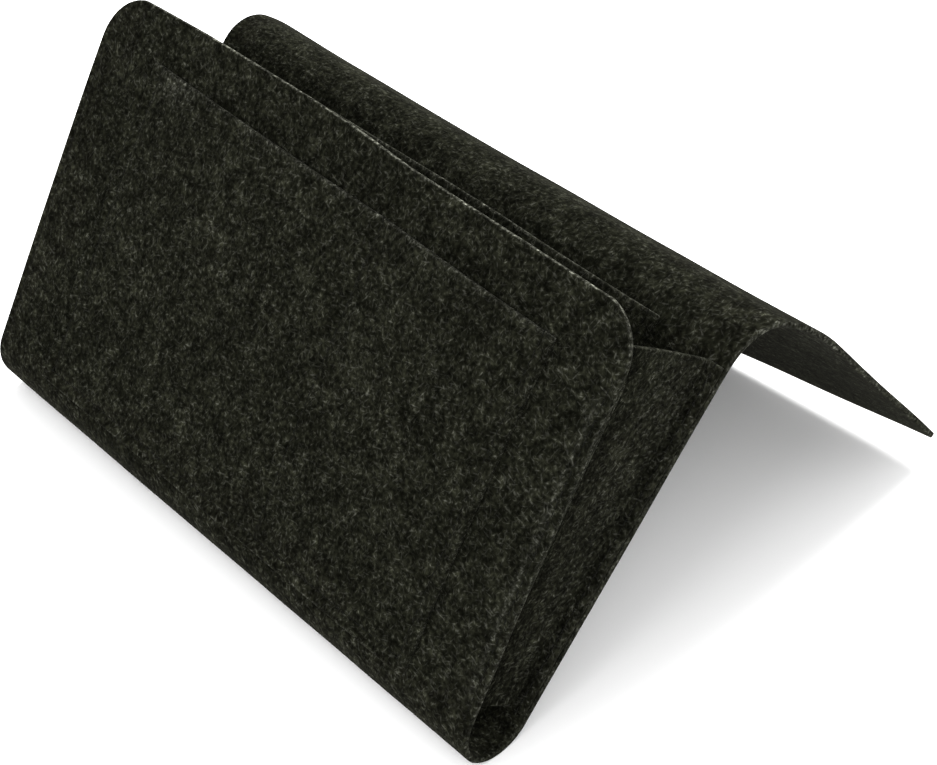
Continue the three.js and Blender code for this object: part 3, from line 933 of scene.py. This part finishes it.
def seam(name, path, seed):
    path = (path + np.array([0.0, SHIFT, 0.0])) / 1000
    mesh = bpy.data.meshes.new(name)
    mesh.from_pydata(path.tolist(), [(i, i + 1) for i in range(len(path) - 1)], [])
    guide = bpy.data.objects.new(name + "_path", mesh)
    bpy.context.scene.collection.objects.link(guide)
    modifier = guide.modifiers.new("stitches", "NODES")
    modifier.node_group = stitches
    modifier[socket_named["Seed"]] = seed
    bpy.context.view_layer.update()
    ready = guide.evaluated_get(bpy.context.evaluated_depsgraph_get())
    made = bpy.data.meshes.new_from_object(ready)
    bpy.data.objects.remove(guide)
    row = bpy.data.objects.new(name, made)
    bpy.context.scene.collection.objects.link(row)
    print(name, len(made.polygons), "faces")
    return row


def path_on(surface, xs, ups, depth):
    xs, ups = np.broadcast_arrays(np.asarray(xs, float), np.asarray(ups, float))
    return surface(xs.copy(), ups.copy(), np.full(xs.shape, depth))


# %% Every seam, on its outer face
THREAD_DEPTH = HALF - 0.1
SEAM_POINTS = 60
SEAM_START = 0.7
FLANGE_FACE = -(BOTTOM_RADIUS - FELT) + GAP + FELT + 0.1
left_line, divider_line, right_line = FRONT_POCKET_SEAMS
rise = np.linspace(INSET + SEAM_START, POCKET_HEIGHT - 1.0, SEAM_POINTS)
level = np.linspace(left_line, right_line, 90)
front_rows_sewn = {
    "patch_seam_left": path_on(front_pocket_surface, left_line, rise, THREAD_DEPTH),
    "patch_seam_divider": path_on(front_pocket_surface, divider_line, rise, THREAD_DEPTH),
    "patch_seam_right": path_on(front_pocket_surface, right_line, rise, THREAD_DEPTH),
    "patch_seam_bottom": path_on(front_pocket_surface, level, INSET, THREAD_DEPTH),
}
back_rows_sewn = {
    "inner_seam_left": path_on(inner_pocket_surface, left_line, rise, THREAD_DEPTH),
    "inner_seam_right": path_on(inner_pocket_surface, right_line, rise, THREAD_DEPTH),
    "inner_seam_bottom": path_on(inner_pocket_surface, level, INSET, THREAD_DEPTH),
}
front_up = np.linspace(GUSSET_LOW + SEAM_START, GUSSET_FRONT - SEAM_START, SEAM_POINTS)
back_up = np.linspace(GUSSET_LOW + SEAM_START, GUSSET_HIGH - SEAM_START, SEAM_POINTS)
for side, x in (("right", FRONT_SEAMS[1]), ("left", FRONT_SEAMS[0])):
    front_rows_sewn[f"gusset_{side}_front_seam"] = path_on(
        sheet_surface, x, S_FOLD - front_up, THREAD_DEPTH)
    back_rows_sewn[f"gusset_{side}_back_seam"] = path_on(on_back, x, back_up, FLANGE_FACE)

# %% [markdown]
# ## What moves with what
#
# The front panel swings about the bottom fold, and the flap about the top fold. The
# pockets, and later the stitch rows, are attached to the body they lie on. The two halves
# of the long sheet and the gussets cross a hinge; here they are only baked into place,
# and places at both folds are worked out.


def row_place(point):
    """A point in millimetres as metres in the CAD model's frame."""
    return tuple(float(v) / 1000 for v in point + np.array([0.0, SHIFT, 0.0]))


def at_middle(helper, along):
    return row_place(helper(np.array(0.0), np.array(along), np.array(0.0)))


fold_start = at_middle(on_bottom_fold, BOTTOM_LENGTH * 0.96)
fold_end = at_middle(on_bottom_fold, BOTTOM_LENGTH * 0.04)
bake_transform(front_sheet)
top_start = at_middle(on_top_fold, TOP_LENGTH * 0.03)
top_end = at_middle(on_flap, 6.0)
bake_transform(rear_sheet)
for piece in (gusset_right, gusset_left):
    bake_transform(piece)
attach(patch_pocket, "front")
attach(inner_pocket, "back")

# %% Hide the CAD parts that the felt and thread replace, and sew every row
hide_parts("front_panel", "bottom_fold")
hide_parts("back_panel", "top_fold", "flap")
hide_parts("patch_pocket")
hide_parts("inner_pocket")
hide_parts("gusset_right")
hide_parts("gusset_left")

seed = 10
for body, sewn in (("front", front_rows_sewn), ("back", back_rows_sewn)):
    for name, path in sewn.items():
        seed += 1
        row = seam(name + "_thread", path, seed)
        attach(row, body)
        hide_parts(name)

# %% [markdown]
# ## Where the gusset web ends
#
# The right gusset web's ends on both panels are worked out at its bottom and its top.


top_front, top_back = web_ends(np.array([0.0, 1.0]), 1.0)

# %% [markdown]
# ## Floor, light and camera
#
# Black felt needs a lot of even light, and a grazing light for its cut edges. The floor is
# plain and pale.

# %% Floor
def plain(name, colour):
    material = bpy.data.materials.new(name)
    material.use_nodes = True
    shader = material.node_tree.nodes["Principled BSDF"]
    shader.inputs["Base Color"].default_value = (*colour, 1)
    shader.inputs["Roughness"].default_value = 0.9
    return material


floor_mesh = bpy.data.meshes.new("floor")
floor_mesh.from_pydata([(-6, -6, 0), (6, -6, 0), (6, 6, 0), (-6, 6, 0)], [], [(0, 1, 2, 3)])
floor_mesh.materials.append(plain("pale_floor", (0.9, 0.9, 0.9)))
floor = bpy.data.objects.new("floor", floor_mesh)
bpy.context.scene.collection.objects.link(floor)

world = bpy.data.worlds.new("studio")
world.use_nodes = True
world.node_tree.nodes["Background"].inputs["Color"].default_value = (1.0, 1.0, 1.0, 1)
world.node_tree.nodes["Background"].inputs["Strength"].default_value = 1.15
bpy.context.scene.world = world


# %% Lights
def area_light(name, place, target, size, power):
    data = bpy.data.lights.new(name, "AREA")
    data.shape = "RECTANGLE"
    data.size, data.size_y = size
    data.energy = power
    light = bpy.data.objects.new(name, data)
    light.location = place
    aim = Vector(target) - Vector(place)
    light.rotation_euler = aim.to_track_quat("-Z", "Y").to_euler()
    bpy.context.scene.collection.objects.link(light)
    return light


area_light("key", (0.1, -1.3, 1.5), (0, -0.05, 0.08), (1.2, 1.0), 15)
area_light("fill", (1.15, -0.8, 0.8), (0, 0, 0.08), (1.0, 1.0), 12)
area_light("rim", (-0.5, 1.3, 1.3), (0, 0.05, 0.1), (1.2, 0.6), 65)

# %% Camera
camera_data = bpy.data.cameras.new("camera")
camera_data.sensor_width = 36.0
camera_data.lens = 78.25
camera_data.clip_start, camera_data.clip_end = 0.05, 20
camera = bpy.data.objects.new("camera", camera_data)
camera.location = (0.61400, (SHIFT - 405.89) / 1000, 0.66971)
camera.rotation_euler = (math.radians(90 - 38.16), 0.0, math.radians(48.12))
bpy.context.scene.collection.objects.link(camera)
bpy.context.scene.camera = camera
bpy.context.scene.view_settings.view_transform = "Standard"
